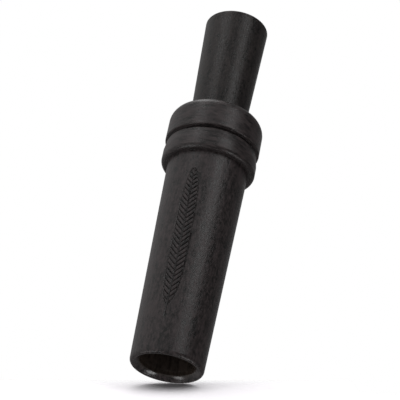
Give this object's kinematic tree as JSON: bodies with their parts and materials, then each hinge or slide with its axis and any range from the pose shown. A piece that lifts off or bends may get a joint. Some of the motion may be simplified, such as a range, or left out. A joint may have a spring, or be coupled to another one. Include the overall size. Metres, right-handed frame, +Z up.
{
  "type": "duck call",
  "caption": "Black duck call: a tapered barrel with a grooved, ringed collar, and a plug-in insert that carries a tone board, reeds and a wedge.",
  "frame": {"origin": "centre of the barrel's open mouth, in the plane of the rim that the call stands on", "axes": "+Z runs up the call's axis from the mouth to the exhaust end; the reeds face -Y; +X is to the right of someone who looks along +Y"},
  "size_m": [0.035, 0.035, 0.1445],
  "materials": {
    "barrel_black": "black-stained, hand-rubbed satin",
    "insert_black": "black-stained, hand-rubbed satin",
    "board_black": "fine matt",
    "reed_film": "frosted polyester film",
    "wedge_cork": "cut cork",
    "seal_rubber": "satin rubber"
  },
  "bodies": {
    "barrel": {"barrel": "barrel_black"},
    "seals": {"front_o_ring": "seal_rubber", "rear_o_ring": "seal_rubber"},
    "insert": {"insert_body": "insert_black", "tone_board": "board_black", "wedge": "wedge_cork"},
    "lower_reed": {"lower_reed": "reed_film"},
    "upper_reed": {"upper_reed": "reed_film"}
  },
  "joints": [
    {"name": "insert_slide", "type": "slide", "parent": "barrel", "child": "seals", "axis": [0, 0, 1], "range_m": [0, 0.072]},
    {"name": "insert_turn", "type": "hinge", "parent": "seals", "child": "insert", "pos_m": [0, 0, 0.09], "axis": [0, 0, 1], "continuous": true},
    {"name": "lower_reed_flex", "type": "hinge", "parent": "insert", "child": "lower_reed", "pos_m": [0, -0.0012, 0.079], "axis": [1, 0, 0], "range_deg": [-2.5, 1.7], "stiffness_Nm_per_rad": 0.02, "deforming": ["lower_reed"]},
    {"name": "upper_reed_flex", "type": "hinge", "parent": "insert", "child": "upper_reed", "pos_m": [0, -0.0012, 0.079], "axis": [1, 0, 0], "range_deg": [-2.5, 1.7], "stiffness_Nm_per_rad": 0.015, "deforming": ["upper_reed"]}
  ],
  "couplings": [
    {"joint": "upper_reed_flex", "follows": "lower_reed_flex", "ratio": 1}
  ]
}
